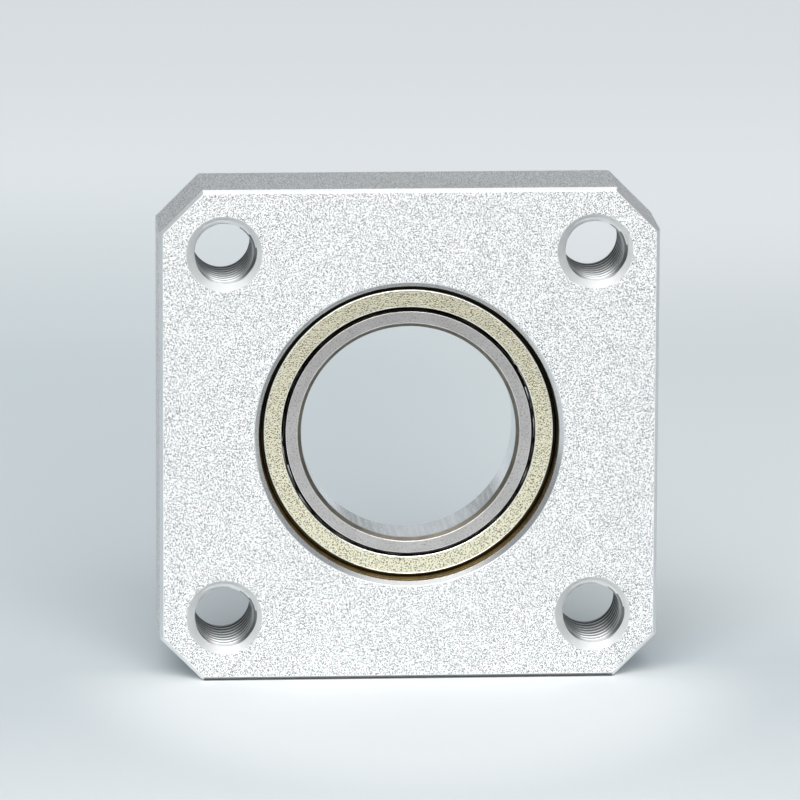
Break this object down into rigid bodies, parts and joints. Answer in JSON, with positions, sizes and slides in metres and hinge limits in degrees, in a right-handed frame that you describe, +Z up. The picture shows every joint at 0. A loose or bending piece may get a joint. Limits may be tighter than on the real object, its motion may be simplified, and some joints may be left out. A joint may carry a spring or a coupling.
{
  "type": "square flange bearing unit",
  "caption": "Square aluminium flange plate with cut corners and tapped corner holes, holding a shielded deep-groove ball bearing behind a front lip with a snap ring.",
  "frame": {"origin": "on the shaft bore's axis, halfway along the bearing", "axes": "+Y along the bore from the flange's front face to its back, +Z up, +X to the right as seen from the front"},
  "size_m": [0.058, 0.012, 0.058],
  "materials": {
    "plate_aluminium": "bead-blasted and clear anodised",
    "ring_steel": "ground bearing steel",
    "ball_steel": "lapped mirror finish",
    "cage_steel": "pressed cold-rolled strip",
    "shield_steel": "pressed sheet, warm grey",
    "spring_steel": "blackened spring steel"
  },
  "bodies": {
    "flange": {"housing_plate": "plate_aluminium", "outer_ring": "ring_steel", "shield_front": "shield_steel", "shield_back": "shield_steel", "retaining_ring": "spring_steel"},
    "inner_ring": {"inner_ring": "ring_steel"},
    "cage": {"cage_front": "cage_steel", "cage_back": "cage_steel", "cage_rivets": "cage_steel"},
    "ball_01": {"ball_01": "ball_steel"},
    "ball_02": {"ball_02": "ball_steel"},
    "ball_03": {"ball_03": "ball_steel"},
    "ball_04": {"ball_04": "ball_steel"},
    "ball_05": {"ball_05": "ball_steel"},
    "ball_06": {"ball_06": "ball_steel"},
    "ball_07": {"ball_07": "ball_steel"},
    "ball_08": {"ball_08": "ball_steel"},
    "ball_09": {"ball_09": "ball_steel"},
    "ball_10": {"ball_10": "ball_steel"},
    "ball_11": {"ball_11": "ball_steel"},
    "ball_12": {"ball_12": "ball_steel"},
    "ball_13": {"ball_13": "ball_steel"},
    "ball_14": {"ball_14": "ball_steel"},
    "ball_15": {"ball_15": "ball_steel"}
  },
  "joints": [
    {"name": "inner_ring_spin", "type": "hinge", "parent": "flange", "child": "inner_ring", "pos_m": [0, 0, 0], "axis": [0, 1, 0], "continuous": true},
    {"name": "cage_orbit", "type": "hinge", "parent": "flange", "child": "cage", "pos_m": [0, 0, 0], "axis": [0, 1, 0], "continuous": true},
    {"name": "ball_01_roll", "type": "hinge", "parent": "cage", "child": "ball_01", "pos_m": [0.0155, 0, 0], "axis": [0, 1, 0], "continuous": true},
    {"name": "ball_02_roll", "type": "hinge", "parent": "cage", "child": "ball_02", "pos_m": [0.01416, 0, 0.0063], "axis": [0, 1, 0], "continuous": true},
    {"name": "ball_03_roll", "type": "hinge", "parent": "cage", "child": "ball_03", "pos_m": [0.01037, 0, 0.01152], "axis": [0, 1, 0], "continuous": true},
    {"name": "ball_04_roll", "type": "hinge", "parent": "cage", "child": "ball_04", "pos_m": [0.00479, 0, 0.01474], "axis": [0, 1, 0], "continuous": true},
    {"name": "ball_05_roll", "type": "hinge", "parent": "cage", "child": "ball_05", "pos_m": [-0.00162, 0, 0.01542], "axis": [0, 1, 0], "continuous": true},
    {"name": "ball_06_roll", "type": "hinge", "parent": "cage", "child": "ball_06", "pos_m": [-0.00775, 0, 0.01342], "axis": [0, 1, 0], "continuous": true},
    {"name": "ball_07_roll", "type": "hinge", "parent": "cage", "child": "ball_07", "pos_m": [-0.01254, 0, 0.00911], "axis": [0, 1, 0], "continuous": true},
    {"name": "ball_08_roll", "type": "hinge", "parent": "cage", "child": "ball_08", "pos_m": [-0.01516, 0, 0.00322], "axis": [0, 1, 0], "continuous": true},
    {"name": "ball_09_roll", "type": "hinge", "parent": "cage", "child": "ball_09", "pos_m": [-0.01516, 0, -0.00322], "axis": [0, 1, 0], "continuous": true},
    {"name": "ball_10_roll", "type": "hinge", "parent": "cage", "child": "ball_10", "pos_m": [-0.01254, 0, -0.00911], "axis": [0, 1, 0], "continuous": true},
    {"name": "ball_11_roll", "type": "hinge", "parent": "cage", "child": "ball_11", "pos_m": [-0.00775, 0, -0.01342], "axis": [0, 1, 0], "continuous": true},
    {"name": "ball_12_roll", "type": "hinge", "parent": "cage", "child": "ball_12", "pos_m": [-0.00162, 0, -0.01542], "axis": [0, 1, 0], "continuous": true},
    {"name": "ball_13_roll", "type": "hinge", "parent": "cage", "child": "ball_13", "pos_m": [0.00479, 0, -0.01474], "axis": [0, 1, 0], "continuous": true},
    {"name": "ball_14_roll", "type": "hinge", "parent": "cage", "child": "ball_14", "pos_m": [0.01037, 0, -0.01152], "axis": [0, 1, 0], "continuous": true},
    {"name": "ball_15_roll", "type": "hinge", "parent": "cage", "child": "ball_15", "pos_m": [0.01416, 0, -0.0063], "axis": [0, 1, 0], "continuous": true}
  ],
  "couplings": [
    {"joint": "cage_orbit", "follows": "inner_ring_spin", "ratio": 0.44355},
    {"joint": "ball_01_roll", "follows": "inner_ring_spin", "ratio": -4.3721},
    {"joint": "ball_02_roll", "follows": "inner_ring_spin", "ratio": -4.3721},
    {"joint": "ball_03_roll", "follows": "inner_ring_spin", "ratio": -4.3721},
    {"joint": "ball_04_roll", "follows": "inner_ring_spin", "ratio": -4.3721},
    {"joint": "ball_05_roll", "follows": "inner_ring_spin", "ratio": -4.3721},
    {"joint": "ball_06_roll", "follows": "inner_ring_spin", "ratio": -4.3721},
    {"joint": "ball_07_roll", "follows": "inner_ring_spin", "ratio": -4.3721},
    {"joint": "ball_08_roll", "follows": "inner_ring_spin", "ratio": -4.3721},
    {"joint": "ball_09_roll", "follows": "inner_ring_spin", "ratio": -4.3721},
    {"joint": "ball_10_roll", "follows": "inner_ring_spin", "ratio": -4.3721},
    {"joint": "ball_11_roll", "follows": "inner_ring_spin", "ratio": -4.3721},
    {"joint": "ball_12_roll", "follows": "inner_ring_spin", "ratio": -4.3721},
    {"joint": "ball_13_roll", "follows": "inner_ring_spin", "ratio": -4.3721},
    {"joint": "ball_14_roll", "follows": "inner_ring_spin", "ratio": -4.3721},
    {"joint": "ball_15_roll", "follows": "inner_ring_spin", "ratio": -4.3721}
  ]
}
